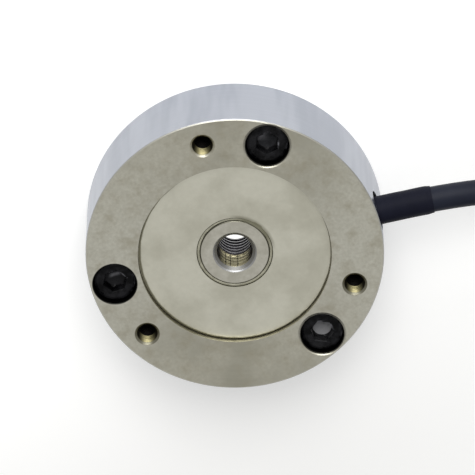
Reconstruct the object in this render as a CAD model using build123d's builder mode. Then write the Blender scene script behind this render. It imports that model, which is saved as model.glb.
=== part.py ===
from build123d import *
import math
import os

# Tension and compression load cell: a flat steel disc with a threaded hub.
# The load axis is +Z, and the rear mounting face lies in the plane z = 0.
# The cable leaves the rim along +X. All lengths are in millimetres.

# Outer ring
body_diameter = 72.0
body_height = 21.0
rim_chamfer = 0.3

# Flange fasteners, on one pitch circle
pitch_diameter = 60.0
screw_first_angle = 60.0
tap_first_angle = 90.0
fastener_count = 3

# Fixing screws, M6 by 12
screw_diameter = 6.0
screw_length = 12.0
screw_tip_chamfer = 0.6
hole_clearance = 0.3
head_diameter = 10.0
head_height = 6.0
head_chamfer = 0.5
head_sink = 1.4
socket_width = 5.0
socket_depth = 3.0
head_clearance = 0.3
counterbore_chamfer = 0.15

# Tapped holes, M5
tap_diameter = 5.0
tap_depth = 12.0
tap_chamfer = 0.5
tap_chamfer_angle = 90.0
drill_point_angle = 118.0

# Hub with its through thread, M10
hub_diameter = 16.7
hub_sink = 1.5
hub_rear_sink = 1.6
thread_diameter = 10.0
thread_chamfer = 0.3
hub_edge_chamfer = 0.15

# Covers, let into both faces
recess_wall = 1.3
ledge_width = 1.3
cover_thickness = 0.8
cover_gap = 0.3
seal_width = 0.9
seal_sink = 0.35

# Flexing web between ring and hub
web_thickness = 5.0
flexure_thickness = 1.8
flexure_groove_width = 3.0
flexure_root_chamfer = 0.6
groove_margin = 1.0

# Cable inlet in the rim
inlet_wall = 0.9
cable_diameter = 6.2
sleeve_wall = 0.4
inlet_diameter = 9.6
inlet_depth = 7.0
inner_bore_diameter = 4.6
inner_bore_overrun = 1.0
potting_sink = 2.0
sleeve_reach = 13.0
jacket_setback = 0.5

# Gauges, board and wires in the front cavity
gauge_count = 4
gauge_first_angle = 45.0
gauge_width = 3.2
gauge_thickness = 0.15
gauge_margin = 0.5
board_inner_margin = 1.85
board_outer_margin = 3.1
board_thickness = 1.0
spacer_height = 1.6
spacer_length = 3.0
spacer_width = 2.4
spacer_count = 3
spacer_first_angle = 0.0
ribbon_width = 0.6
ribbon_thickness = 0.15
ribbon_spacing = 1.6
resistor_length = 3.2
resistor_width = 1.6
resistor_height = 0.6
resistor_count = 3
resistor_first_angle = 120.0
resistor_arc = 120.0
core_diameter = 1.3
core_gap = 0.2
core_board_gap = 0.3
core_landing_margin = 2.0
core_landing_step = 2.4
core_bend_length = 0.5

# Cable outside the body, with its unseen length wound into a coil of two layers
route_fillet_share = 0.45
coil_turn_diameter = 72.0
coil_columns = 3
coil_layers = 2
coil_corner = 1.8
coil_ease = 0.06
coil_exit_angle = 92.0
stub_length = 24.5
tail_length = 5.0
lead_diameter = 1.5
lead_circle_radius = 1.6
lead_fan_pitch = 2.1
lead_fan_spread = 1.3
lead_landing_share = 0.6
lead_straight_start = 4.0
lead_length = 15.0
tip_diameter = 0.8
tip_length = 5.0

# Tolerance for choosing edges and corners by their place
select_tolerance = 0.01

body_radius = body_diameter / 2
pitch_radius = pitch_diameter / 2
counterbore_radius = head_diameter / 2 + head_clearance
recess_radius = pitch_radius - counterbore_radius - recess_wall
cavity_radius = recess_radius - ledge_width
hub_radius = hub_diameter / 2
cover_hole_radius = hub_radius + seal_width
seal_thickness = cover_thickness - seal_sink
cable_radius = cable_diameter / 2
sleeve_radius = cable_radius + sleeve_wall
inlet_floor = body_radius - inlet_depth
core_radius = core_diameter / 2
core_offset = (core_diameter + core_gap) / 2
board_inner_radius = hub_radius + board_inner_margin
board_outer_radius = cavity_radius - board_outer_margin
board_middle_radius = (board_inner_radius + board_outer_radius) / 2

hub_front_height = body_height - hub_sink
cover_under_height = hub_front_height - cover_thickness
rear_cover_top_height = hub_rear_sink + cover_thickness
head_top_height = body_height - head_sink
seat_height = head_top_height - head_height
cable_height = body_height - inlet_wall - inlet_diameter / 2
board_top_height = cable_height - core_offset - core_radius - core_board_gap
board_height = board_top_height - board_thickness
web_front_height = board_height - spacer_height
web_rear_height = web_front_height - web_thickness
flexure_rear_height = web_front_height - flexure_thickness

# Route of the cable, from inside the inlet to the coil
cable_route = [
    (inlet_floor + jacket_setback, 0.0, cable_height),
    (54.0, 0.0, cable_height),
    (74.7, -7.5, 9.3),
    (87.0, -17.8, 9.3),
]

os.makedirs("parts", exist_ok=True)


def save(piece, name):
    """Labels one finished piece and writes it under the same name."""
    piece.label = name
    export_step(piece, f"parts/{name}.step")


# Section of the ring, web and hub, turned about the load axis
inner_groove_inner = hub_radius + groove_margin
inner_groove_outer = inner_groove_inner + flexure_groove_width
outer_groove_outer = cavity_radius - groove_margin
outer_groove_inner = outer_groove_outer - flexure_groove_width
thread_radius = thread_diameter / 2
section_points = [
    (thread_radius + thread_chamfer, hub_rear_sink),
    (hub_radius - hub_edge_chamfer, hub_rear_sink),
    (hub_radius, hub_rear_sink + hub_edge_chamfer),
    (hub_radius, web_rear_height),
    (inner_groove_inner, web_rear_height),
    (inner_groove_inner, flexure_rear_height),
    (inner_groove_outer, flexure_rear_height),
    (inner_groove_outer, web_rear_height),
    (outer_groove_inner, web_rear_height),
    (outer_groove_inner, flexure_rear_height),
    (outer_groove_outer, flexure_rear_height),
    (outer_groove_outer, web_rear_height),
    (cavity_radius, web_rear_height),
    (cavity_radius, rear_cover_top_height),
    (recess_radius, rear_cover_top_height),
    (recess_radius, 0),
    (body_radius - rim_chamfer, 0),
    (body_radius, rim_chamfer),
    (body_radius, body_height - rim_chamfer),
    (body_radius - rim_chamfer, body_height),
    (recess_radius, body_height),
    (recess_radius, cover_under_height),
    (cavity_radius, cover_under_height),
    (cavity_radius, web_front_height),
    (hub_radius, web_front_height),
    (hub_radius, hub_front_height - hub_edge_chamfer),
    (hub_radius - hub_edge_chamfer, hub_front_height),
    (thread_radius + thread_chamfer, hub_front_height),
    (thread_radius, hub_front_height - thread_chamfer),
    (thread_radius, hub_rear_sink + thread_chamfer),
]

with BuildPart() as sensor_body:
    with BuildSketch(Plane.XZ) as section:
        with BuildLine():
            Polyline(section_points, close=True)
        make_face()
        groove_roots = section.vertices().filter_by(
            lambda v: abs(v.Z - flexure_rear_height) < select_tolerance
        )
        chamfer(groove_roots, flexure_root_chamfer)
    revolve(axis=Axis.Z)
    with Locations((0, 0, body_height)):
        with PolarLocations(pitch_radius, fastener_count, screw_first_angle):
            CounterBoreHole(
                radius=screw_diameter / 2 + hole_clearance,
                counter_bore_radius=counterbore_radius,
                counter_bore_depth=head_sink + head_height,
                depth=body_height,
            )
        with PolarLocations(pitch_radius, fastener_count, tap_first_angle):
            CounterSinkHole(
                radius=tap_diameter / 2,
                counter_sink_radius=tap_diameter / 2 + tap_chamfer,
                depth=tap_depth,
                counter_sink_angle=tap_chamfer_angle,
            )
    drill_point = tap_diameter / 2 / math.tan(math.radians(drill_point_angle / 2))
    with Locations((0, 0, body_height - tap_depth - drill_point / 2)):
        with PolarLocations(pitch_radius, fastener_count, tap_first_angle):
            Cone(
                bottom_radius=0,
                top_radius=tap_diameter / 2,
                height=drill_point,
                mode=Mode.SUBTRACT,
            )
    with BuildSketch(Plane.YZ.offset(body_radius)) as inlet:
        with Locations((0, cable_height)):
            Circle(inlet_diameter / 2)
    extrude(amount=-inlet_depth, mode=Mode.SUBTRACT)
    with BuildSketch(Plane.YZ.offset(body_radius)) as inner_bore:
        with Locations((0, cable_height)):
            Circle(inner_bore_diameter / 2)
    extrude(amount=-(body_radius - cavity_radius + inner_bore_overrun), mode=Mode.SUBTRACT)
    counterbore_rims = sensor_body.edges().filter_by(GeomType.CIRCLE).filter_by(
        lambda e: abs(e.radius - counterbore_radius) < select_tolerance
        and abs(e.center().Z - body_height) < select_tolerance
    )
    chamfer(counterbore_rims, counterbore_chamfer)
save(sensor_body.part, "sensor_body")

# Covers: flat rings in the recesses of both faces
cover_radius = recess_radius - cover_gap
with BuildPart() as front_cover:
    with BuildSketch(Plane.XY.offset(cover_under_height)):
        Circle(cover_radius)
        Circle(cover_hole_radius, mode=Mode.SUBTRACT)
    extrude(amount=cover_thickness)
save(front_cover.part, "front_cover")

with BuildPart() as rear_cover:
    with BuildSketch(Plane.XY.offset(hub_rear_sink)):
        Circle(cover_radius)
        Circle(cover_hole_radius, mode=Mode.SUBTRACT)
    extrude(amount=cover_thickness)
save(rear_cover.part, "rear_cover")

# Sealing beads between the covers and the hub, flush with the covers' inner sides
with BuildPart() as hub_seal_front:
    with BuildSketch(Plane.XY.offset(hub_front_height - seal_sink - seal_thickness)):
        Circle(cover_hole_radius)
        Circle(hub_radius, mode=Mode.SUBTRACT)
    extrude(amount=seal_thickness)
save(hub_seal_front.part, "hub_seal_front")

with BuildPart() as hub_seal_rear:
    with BuildSketch(Plane.XY.offset(hub_rear_sink + seal_sink)):
        Circle(cover_hole_radius)
        Circle(hub_radius, mode=Mode.SUBTRACT)
    extrude(amount=seal_thickness)
save(hub_seal_rear.part, "hub_seal_rear")

# Socket-head screws, seated in their counterbores
with BuildPart() as flange_screws:
    with BuildSketch(Plane.XY.offset(seat_height)):
        with PolarLocations(pitch_radius, fastener_count, screw_first_angle):
            Circle(head_diameter / 2)
    extrude(amount=head_height)
    top_edges = flange_screws.edges().group_by(Axis.Z)[-1]
    chamfer(top_edges, head_chamfer)
    with BuildSketch(Plane.XY.offset(seat_height)):
        with PolarLocations(pitch_radius, fastener_count, screw_first_angle):
            Circle(screw_diameter / 2)
    extrude(amount=-screw_length)
    tip_edges = flange_screws.edges().group_by(Axis.Z)[0]
    chamfer(tip_edges, screw_tip_chamfer)
    with BuildSketch(Plane.XY.offset(head_top_height)):
        with PolarLocations(pitch_radius, fastener_count, screw_first_angle):
            RegularPolygon(socket_width / 2, 6, major_radius=False)
    extrude(amount=-socket_depth, mode=Mode.SUBTRACT)
save(flange_screws.part, "flange_screws")

# Strain gauges: foil strips on the web, each reaching over both flexures
gauge_inner = hub_radius + gauge_margin
gauge_outer = cavity_radius - gauge_margin
for number in range(gauge_count):
    angle = gauge_first_angle + number * 360 / gauge_count
    with BuildPart() as strain_gauge:
        with BuildSketch(Plane.XY.offset(web_front_height)):
            with PolarLocations((gauge_inner + gauge_outer) / 2, 1, angle):
                Rectangle(gauge_outer - gauge_inner, gauge_width)
        extrude(amount=gauge_thickness)
    save(strain_gauge.part, f"strain_gauge_{number + 1}")

# Ring board that joins the gauges to one bridge, on three spacers
with BuildPart() as board_spacers:
    with BuildSketch(Plane.XY.offset(web_front_height)):
        with PolarLocations(board_middle_radius, spacer_count, spacer_first_angle):
            Rectangle(spacer_length, spacer_width)
    extrude(amount=spacer_height)
save(board_spacers.part, "board_spacers")

with BuildPart() as bridge_board:
    with BuildSketch(Plane.XY.offset(board_height)):
        Circle(board_outer_radius)
        Circle(board_inner_radius, mode=Mode.SUBTRACT)
    extrude(amount=board_thickness)
save(bridge_board.part, "bridge_board")

with BuildPart() as trim_resistors:
    with BuildSketch(Plane.XY.offset(board_top_height)):
        with PolarLocations(
            board_middle_radius, resistor_count, resistor_first_angle, resistor_arc
        ):
            Rectangle(resistor_width, resistor_length)
    extrude(amount=resistor_height)
save(trim_resistors.part, "trim_resistors")

# Ribbon leads that stand between the gauges and the board, two to a gauge
ribbon_height = spacer_height - gauge_thickness
with BuildPart() as gauge_ribbons:
    with BuildSketch(Plane.XY.offset(web_front_height + gauge_thickness)):
        with PolarLocations(board_middle_radius, gauge_count, gauge_first_angle):
            with Locations((0, ribbon_spacing / 2), (0, -ribbon_spacing / 2)):
                Rectangle(ribbon_thickness, ribbon_width)
    extrude(amount=ribbon_height)
save(gauge_ribbons.part, "gauge_ribbons")

# Inlet: potting around the sleeve, and a rubber bush that grips the jacket
with BuildPart() as inlet_potting:
    with BuildSketch(Plane.YZ.offset(inlet_floor)):
        with Locations((0, cable_height)):
            Circle(inlet_diameter / 2)
            Circle(sleeve_radius, mode=Mode.SUBTRACT)
    extrude(amount=inlet_depth - potting_sink)
save(inlet_potting.part, "inlet_potting")

# Cores of the cable, in a square bundle from the end of the jacket to the board
jacket_start = cable_route[0][0]
core_names = ["red", "black", "green", "white"]
core_places = [(1, 1), (-1, 1), (1, -1), (-1, -1)]
for name, (side, level) in zip(core_names, core_places):
    core_y = side * core_offset
    core_z = cable_height + level * core_offset
    landing_x = board_outer_radius - core_landing_margin - (level + 1) / 2 * core_landing_step
    with BuildPart() as core:
        with BuildLine() as core_path:
            Polyline(
                (jacket_start, core_y, core_z),
                (landing_x + core_bend_length, core_y, core_z),
                (landing_x, core_y, core_z - core_bend_length),
                (landing_x, core_y, board_top_height),
            )
        with BuildSketch(Plane(core_path.line @ 0, z_dir=core_path.line % 0)):
            Circle(core_radius)
        sweep(transition=Transition.RIGHT)
    save(core.part, f"core_{name}")

# Grommet that fills the inner bore around the cores
with BuildPart() as core_grommet:
    with BuildSketch(Plane.YZ.offset(inlet_floor)):
        with Locations((0, cable_height)):
            Circle(inner_bore_diameter / 2)
            with GridLocations(core_offset * 2, core_offset * 2, 2, 2):
                Circle(core_radius, mode=Mode.SUBTRACT)
    extrude(amount=cavity_radius - inlet_floor)
save(core_grommet.part, "core_grommet")


def route_radii(points):
    """Bend radius at each inner point: 0.45 of the shorter run over the tangent of half the turn."""
    radii = []
    for before, corner, after in zip(points, points[1:], points[2:]):
        run_in = Vector(*corner) - Vector(*before)
        run_out = Vector(*after) - Vector(*corner)
        half_turn = math.radians(run_in.get_angle(run_out)) / 2
        shorter = min(run_in.length, run_out.length)
        radii.append(route_fillet_share * shorter / math.tan(half_turn))
    return radii


# Cable: one tube from inside the inlet to the coil
radii = route_radii(cable_route)
print("cable bend radii", [round(radius, 1) for radius in radii])
with BuildPart() as cable:
    with BuildLine():
        cable_path = FilletPolyline(*cable_route, radius=radii)
    with BuildSketch(Plane(cable_path @ 0, z_dir=cable_path % 0)):
        Circle(cable_radius)
    sweep()
tube_volume = math.pi * cable_radius**2 * cable_path.length
print("cable volume over section times length", round(cable.part.volume / tube_volume, 4))
save(cable.part, "cable")

# Heat-shrunk sleeve, which follows the first stretch of the cable
sleeve_from = (inlet_floor - cable_route[0][0]) / cable_path.length
sleeve_to = (body_radius + sleeve_reach - cable_route[0][0]) / cable_path.length
sleeve_path = cable_path.trim(sleeve_from, sleeve_to)
with BuildPart() as strain_relief_sleeve:
    with BuildSketch(Plane(sleeve_path @ 0, z_dir=sleeve_path % 0)):
        Circle(sleeve_radius)
        Circle(cable_radius, mode=Mode.SUBTRACT)
    sweep(path=sleeve_path)
save(strain_relief_sleeve.part, "strain_relief_sleeve")

# Coil: the outer shape of its turns, with a straight stub where each end leaves it
outer_turn_radius = coil_turn_diameter / 2 + (coil_columns - 1) / 2 * cable_diameter
entry = Vector(*cable_route[-1])
entry_heading = (entry - Vector(*cable_route[-2])).normalized()
entry_turn_point = entry + entry_heading * stub_length
coil_centre = entry_turn_point + entry_heading.rotate(Axis.Z, 90) * outer_turn_radius
exit_heading = Vector(1, 0, 0).rotate(Axis.Z, coil_exit_angle + 90)
exit_turn_point = Vector(coil_centre.X, coil_centre.Y, cable_radius) + Vector(
    outer_turn_radius, 0, 0
).rotate(Axis.Z, coil_exit_angle)
tail_start = exit_turn_point + exit_heading * stub_length
print("coil centre", coil_centre, "tail start", tail_start)

coil_middle_height = coil_layers * cable_radius + coil_ease
coil_width = coil_columns * cable_diameter + 2 * coil_ease
with BuildPart() as cable_coil:
    with BuildSketch(Plane(coil_centre, x_dir=(1, 0, 0), z_dir=(0, -1, 0))) as coil_section:
        with Locations((coil_turn_diameter / 2, coil_middle_height - coil_centre.Z)):
            Rectangle(coil_width, coil_layers * cable_diameter)
        chamfer(coil_section.vertices(), coil_corner)
    revolve(axis=Axis(coil_centre, (0, 0, 1)))
    with BuildSketch(Plane(entry, z_dir=entry_heading)):
        Circle(cable_radius)
    extrude(amount=stub_length)
    with BuildSketch(Plane(exit_turn_point, z_dir=exit_heading)):
        Circle(cable_radius)
    extrude(amount=stub_length)
save(cable_coil.part, "cable_coil")

# Tail of the cable, with its flying leads laid out on the surface
with BuildPart() as cable_tail:
    with BuildSketch(Plane(tail_start, z_dir=exit_heading)):
        Circle(cable_radius)
    extrude(amount=tail_length)
save(cable_tail.part, "cable_tail")

lead_radius = lead_diameter / 2
tail_end = tail_start + exit_heading * tail_length
sideways = exit_heading.rotate(Axis.Z, 90)
lead_names = ["red", "black", "shield", "green", "white"]
lead_start_angles = [162, 234, 90, 306, 18]
tips = []
for number, name in enumerate(lead_names):
    start_angle = math.radians(lead_start_angles[number])
    start_side = lead_circle_radius * math.cos(start_angle)
    start_rise = lead_circle_radius * math.sin(start_angle)
    end_side = (number - (len(lead_names) - 1) / 2) * lead_fan_pitch
    drop = lead_radius - tail_end.Z
    lead_start = tail_end - sideways * start_side + Vector(0, 0, start_rise)
    lead_floor = tail_end + Vector(0, 0, drop)
    lead_route = [
        lead_start,
        lead_start + exit_heading * lead_straight_start,
        lead_floor - sideways * end_side + exit_heading * lead_length * lead_landing_share,
        lead_floor - sideways * end_side * lead_fan_spread + exit_heading * lead_length,
    ]
    with BuildPart() as lead:
        with BuildLine():
            lead_path = Polyline(*lead_route)
        with BuildSketch(Plane(lead_path @ 0, z_dir=lead_path % 0)):
            Circle(lead_radius)
        sweep(transition=Transition.RIGHT)
    save(lead.part, f"lead_{name}")
    tips.append(Plane(lead_path @ 1, z_dir=lead_path % 1))

with BuildPart() as tinned_tips:
    for tip_plane in tips:
        with BuildSketch(tip_plane):
            Circle(tip_diameter / 2)
        extrude(amount=tip_length)
save(tinned_tips.part, "tinned_tips")
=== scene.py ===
# %% [markdown]
# # A tension and compression load cell
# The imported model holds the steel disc, its covers, its screws and its cable at their real size.
# These cells dress that model: threads, sealing beads, a smooth cable and the finish of each surface.
# The model is loaded first, because the sizes and places of its pieces are read from it.

# %% Load the frame
import math

import bpy
import numpy as np
from mathutils import Matrix, Vector


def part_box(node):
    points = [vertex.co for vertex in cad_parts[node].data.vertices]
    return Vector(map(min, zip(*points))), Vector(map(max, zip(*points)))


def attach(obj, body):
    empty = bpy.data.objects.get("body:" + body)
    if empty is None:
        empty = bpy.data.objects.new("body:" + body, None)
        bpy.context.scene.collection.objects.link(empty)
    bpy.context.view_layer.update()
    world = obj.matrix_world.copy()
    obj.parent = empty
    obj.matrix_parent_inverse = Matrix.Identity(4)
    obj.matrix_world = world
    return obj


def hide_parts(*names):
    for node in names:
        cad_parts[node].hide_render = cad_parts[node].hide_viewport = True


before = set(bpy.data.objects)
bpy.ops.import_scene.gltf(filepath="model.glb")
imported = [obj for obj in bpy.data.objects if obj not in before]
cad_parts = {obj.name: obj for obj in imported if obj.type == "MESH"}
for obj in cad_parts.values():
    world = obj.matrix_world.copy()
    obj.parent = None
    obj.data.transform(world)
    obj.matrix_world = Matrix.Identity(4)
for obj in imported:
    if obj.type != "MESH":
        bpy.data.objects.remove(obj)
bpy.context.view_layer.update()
scene = bpy.context.scene
body_high = np.array(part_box("sensor_body")[1])
body_radius = body_high[0]
face_height = body_high[2]
print("nodes", len(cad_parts), "body radius", round(body_radius, 4), "height", round(face_height, 4))

# %% [markdown]
# ## The camera
# The photograph looks at the front face from about 26 degrees off its axis, through a long lens.
# A camera can be placed by hand, but a direction worked out from two angles is easier to correct.
# The camera's own axes are its right, its up and the way back to it from the object, so those three
# vectors are the columns of its rotation. A small shift moves the picture without turning the camera.
# picture_right and picture_up are the picture's two directions, laid flat on the table.

# %% Camera at the photograph's angle
view_tilt = math.radians(25.79)
view_turn = math.radians(15.0)
view_distance = 1.6
lens_mm = 503.1
sensor_mm = 36.0
sight_limit = 20.0
image_side = 475
centre_offset_px = (2.7, 17.68)
picture_right = (math.cos(view_turn), -math.sin(view_turn))
picture_up = (math.sin(view_turn), math.cos(view_turn))

face_centre = Vector((0.0, 0.0, face_height))
toward = Vector((*(math.sin(view_tilt) * part for part in picture_up), math.cos(view_tilt)))
right = Vector((*picture_right, 0.0))
camera_data = bpy.data.cameras.new("camera")
camera_data.lens = lens_mm
camera_data.sensor_width = sensor_mm
camera_data.shift_x = centre_offset_px[0] / image_side
camera_data.shift_y = centre_offset_px[1] / image_side
camera_data.clip_end = sight_limit
camera = bpy.data.objects.new("camera", camera_data)
camera.matrix_world = (
    Matrix.Translation(face_centre + toward * view_distance)
    @ Matrix((right, toward.cross(right), toward)).transposed().to_4x4()
)
scene.collection.objects.link(camera)
scene.camera = camera
scene.view_settings.view_transform = "Standard"
print("camera at", [round(value, 3) for value in camera.matrix_world.translation])

# %% [markdown]
# ## The cable's route
# The real cable leaves the rim, sinks towards the table and is longer than the photograph shows.
# The rest is wound into a neat coil of two layers, past the right edge of the picture.
# One NURBS spline carries the whole cable. A spline of order 3 touches the middle of each run of its
# control polygon, so a turn's points lie on a slightly larger circle than the turn itself.

# %% Control points of the route and the coil
cable_diameter = 0.0062
cable_radius = cable_diameter / 2
cable_route = [
    (0.0295, 0.0, 0.0153),
    (0.054, 0.0, 0.0153),
    (0.0747, -0.0075, 0.0093),
    (0.087, -0.0178, 0.0093),
]
coil_turn_diameter = 0.072
coil_columns = 3
coil_turns = 6
coil_exit_angle = math.radians(92.0)
stub_length = 0.0245
tail_length = 0.005
points_per_turn = 16


def smooth_step(value, centre, width):
    """Rises from 0 to 1 about the centre: t squared times (3 - 2t), with t clipped to 0 and 1."""
    t = np.clip((value - centre) / width + 0.5, 0.0, 1.0)
    return t * t * (3.0 - 2.0 * t)


def heading(angle):
    """The direction in the table's plane at an angle from +X."""
    return np.array([math.cos(angle), math.sin(angle), 0.0])


outer_turn_radius = coil_turn_diameter / 2 + (coil_columns - 1) / 2 * cable_diameter
route_end = np.array(cable_route[-1])
last_run = route_end - np.array(cable_route[-2])
entry_angle = math.atan2(last_run[1], last_run[0])
entry_turn_point = route_end + heading(entry_angle) * stub_length
coil_centre = entry_turn_point + heading(entry_angle + math.pi / 2) * outer_turn_radius
wind_start = entry_angle - math.pi / 2
wind_end = coil_exit_angle + 2 * math.pi * (coil_turns - 1)
steps = round((wind_end - wind_start) / (2 * math.pi / points_per_turn))
step_angle = (wind_end - wind_start) / steps
winding = wind_start + (np.arange(steps) + 0.5) * step_angle
print("coil centre", np.round(coil_centre, 4), "turns", round((wind_end - wind_start) / (2 * math.pi), 2))

# %% [markdown]
# The cable winds inwards on the top layer, drops to the table and winds outwards below.
# Each change of row takes about a sixth of a turn. Round the circle, both kinds of step lie before
# the place of the drop. For the inward ones that is a fault: near the drop, the falling turn hasn't
# left its row when its neighbour moves into it, and the two cut about 4 mm into each other.

# %% Turns of the coil
row_change = math.radians(62.0)
inward_lead = math.radians(25.0)
outward_lead = math.radians(70.0)


def rows_changed(marks):
    """How many changes of row each point of the winding has passed: the sum of a step at each mark."""
    return sum(smooth_step(winding, mark, row_change) for mark in marks)


turn_marks = wind_start + 2 * math.pi * np.arange(1, coil_turns)
inward = cable_diameter * rows_changed(turn_marks[:2] - inward_lead)
outward = cable_diameter * rows_changed(turn_marks[3:] - outward_lead)
turn_radius = outer_turn_radius - inward + outward
turn_height = coil_centre[2] - cable_diameter * rows_changed(turn_marks[2:3])
control_radius = turn_radius / math.cos(step_angle / 2)
coil_points = np.stack(
    [
        coil_centre[0] + control_radius * np.cos(winding),
        coil_centre[1] + control_radius * np.sin(winding),
        turn_height,
    ],
    axis=1,
)

lead_in = outer_turn_radius * math.tan(step_angle / 2)
exit_heading = heading(coil_exit_angle + math.pi / 2)
exit_turn_point = coil_centre + heading(coil_exit_angle) * outer_turn_radius
exit_turn_point[2] = cable_radius
tail_start = exit_turn_point + exit_heading * stub_length
tail_end = tail_start + exit_heading * tail_length
cable_points = np.vstack(
    [
        cable_route,
        entry_turn_point - heading(entry_angle) * lead_in,
        coil_points,
        exit_turn_point + exit_heading * lead_in,
        tail_start,
        tail_end,
    ]
)
print("control points", len(cable_points))


# %% The cable as one NURBS spline
def nurbs_curve(name, points, radius):
    """A smooth round line: one open NURBS spline of order 3 that starts and ends on its end points.
    Each point's own radius times the bevel depth of 1 is the line's radius, because Blender widens a
    curve's box by its points' radius."""
    data = bpy.data.curves.new(name, "CURVE")
    data.dimensions = "3D"
    data.resolution_u = 8
    spline = data.splines.new("NURBS")
    spline.points.add(len(points) - 1)
    weighted = np.column_stack([points, np.ones(len(points))])
    spline.points.foreach_set("co", weighted.astype(np.float32).ravel())
    spline.points.foreach_set("radius", np.full(len(points), radius, dtype=np.float32))
    spline.order_u = 3
    spline.use_endpoint_u = True
    data.bevel_depth = 1.0
    data.bevel_resolution = 7
    data.use_fill_caps = True
    made = bpy.data.objects.new(name, data)
    scene.collection.objects.link(made)
    return made


def spline_points(curve):
    """The points of a curve's centre line, read from its NURBS with the round section off."""
    depth, caps = curve.data.bevel_depth, curve.data.use_fill_caps
    curve.data.bevel_depth, curve.data.use_fill_caps = 0.0, False
    mesh = bpy.data.meshes.new_from_object(curve.evaluated_get(bpy.context.evaluated_depsgraph_get()))
    curve.data.bevel_depth, curve.data.use_fill_caps = depth, caps
    line = np.empty(len(mesh.vertices) * 3)
    mesh.vertices.foreach_get("co", line)
    bpy.data.meshes.remove(mesh)
    return line.reshape(-1, 3)


cable = nurbs_curve("cable_jacket", cable_points, cable_radius)
cable_line = spline_points(cable)
cable_steps = np.linalg.norm(np.diff(cable_line, axis=0), axis=1)
cable_length = float(cable_steps.sum())
print("cable length", round(cable_length, 4), "points read", len(cable_line))

# %% [markdown]
# ## Nodes
# Materials and the world are trees of nodes. Built one by one they take many lines, so a few short
# functions add a node, feed its inputs and do its sums. Most give back what the next one takes.

# %% Node helpers
def feed(tree, socket, value):
    """Fills one input: a socket is linked, a number or a vector is set, and a colour is made opaque."""
    if isinstance(value, bpy.types.NodeSocket):
        tree.links.new(value, socket)
    else:
        socket.default_value = (*value, 1.0) if socket.type == "RGBA" else value


def add_node(tree, kind, inputs=None, **settings):
    """Adds one shader node, sets its properties, and feeds its inputs by name or number."""
    made = tree.nodes.new("ShaderNode" + kind)
    for key, value in settings.items():
        setattr(made, key, value)
    for key, value in (inputs or {}).items():
        feed(tree, made.inputs[key], value)
    return made


def sum_up(tree, operation, first, second=0.0, third=0.0, clamp=False):
    """One Math node, of which the result is given back."""
    made = add_node(tree, "Math", {0: first, 1: second, 2: third}, operation=operation, use_clamp=clamp)
    return made.outputs[0]


def times(tree, first, second):
    """The product of two numbers."""
    return sum_up(tree, "MULTIPLY", first, second)


def minus(tree, first, second):
    """The first number less the second."""
    return sum_up(tree, "SUBTRACT", first, second)


def apart(tree, first, second):
    """How far two numbers are apart: their difference without its sign."""
    return sum_up(tree, "ABSOLUTE", minus(tree, first, second))


def band(tree, value, low, high, start=0.0, end=1.0):
    """Goes smoothly from start, where the value is at low, to end, where it is at high."""
    ends = {"Value": value, "From Min": low, "From Max": high, "To Min": start, "To Max": end}
    return add_node(tree, "MapRange", ends, interpolation_type="SMOOTHSTEP").outputs["Result"]


def new_material(name):
    """An empty node material, with its tree."""
    material = bpy.data.materials.new(name)
    material.use_nodes = True
    material.node_tree.nodes.clear()
    return material, material.node_tree


# %% [markdown]
# ## Light, floor and backdrop
# The photograph has a white table that greys towards its lower edge, and soft light from above its top
# edge. A floor that is lit to white would throw its light on the object, so this one has a pale colour,
# takes the shadow, and adds a glow that only the camera, reflections and glass see. The glow fades
# towards the lower edge, and is strong under the hub's hole, where the photograph shows a white spot.

# %% Floor
white = (1.0, 1.0, 1.0)
floor_side = 6.0
floor_albedo = (0.80, 0.80, 0.79)
floor_glow = 0.37
near_glow = 0.20
hole_glow = 0.9
hole_radius = 0.0065
fade_start = 0.0
fade_end = -0.085

material, tree = new_material("table_white")
path = add_node(tree, "LightPath")
seen = sum_up(tree, "MAXIMUM", path.outputs["Is Camera Ray"], path.outputs["Is Glossy Ray"])
seen = sum_up(tree, "MAXIMUM", seen, path.outputs["Is Transmission Ray"])
on_floor = add_node(tree, "TexCoord").outputs["Object"]
floor_y = add_node(tree, "SeparateXYZ", {0: on_floor}).outputs[1]
fade = band(tree, floor_y, fade_end, fade_start, near_glow, floor_glow)
from_axis = add_node(tree, "VectorMath", {0: on_floor}, operation="LENGTH").outputs["Value"]
under_hole = sum_up(tree, "LESS_THAN", from_axis, hole_radius)
glow = sum_up(tree, "MAXIMUM", fade, times(tree, under_hole, hole_glow))
shown = add_node(tree, "Emission", {"Color": white, "Strength": times(tree, seen, glow)})
matte = add_node(tree, "BsdfDiffuse", {"Color": floor_albedo})
both = add_node(tree, "AddShader", {0: matte.outputs[0], 1: shown.outputs[0]})
add_node(tree, "OutputMaterial", {"Surface": both.outputs[0]})

half = floor_side / 2
floor_mesh = bpy.data.meshes.new("table")
floor_mesh.from_pydata(
    [(-half, -half, 0.0), (half, -half, 0.0), (half, half, 0.0), (-half, half, 0.0)], [], [(0, 1, 2, 3)]
)
floor_mesh.materials.append(material)
floor = bpy.data.objects.new("table", floor_mesh)
scene.collection.objects.link(floor)
print("floor", floor_side, "m")

# %% [markdown]
# The world fills in from all round, so that a colour renders about as it is written. It is dim low
# down on one side, the lower one in the picture, so that steel and black parts have something darker
# to mirror there. The camera itself sees a white backdrop. Two soft panels shine from the side of
# the picture's top edge: a large one from high up, and a flat one from lower down, for the rim.

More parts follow.
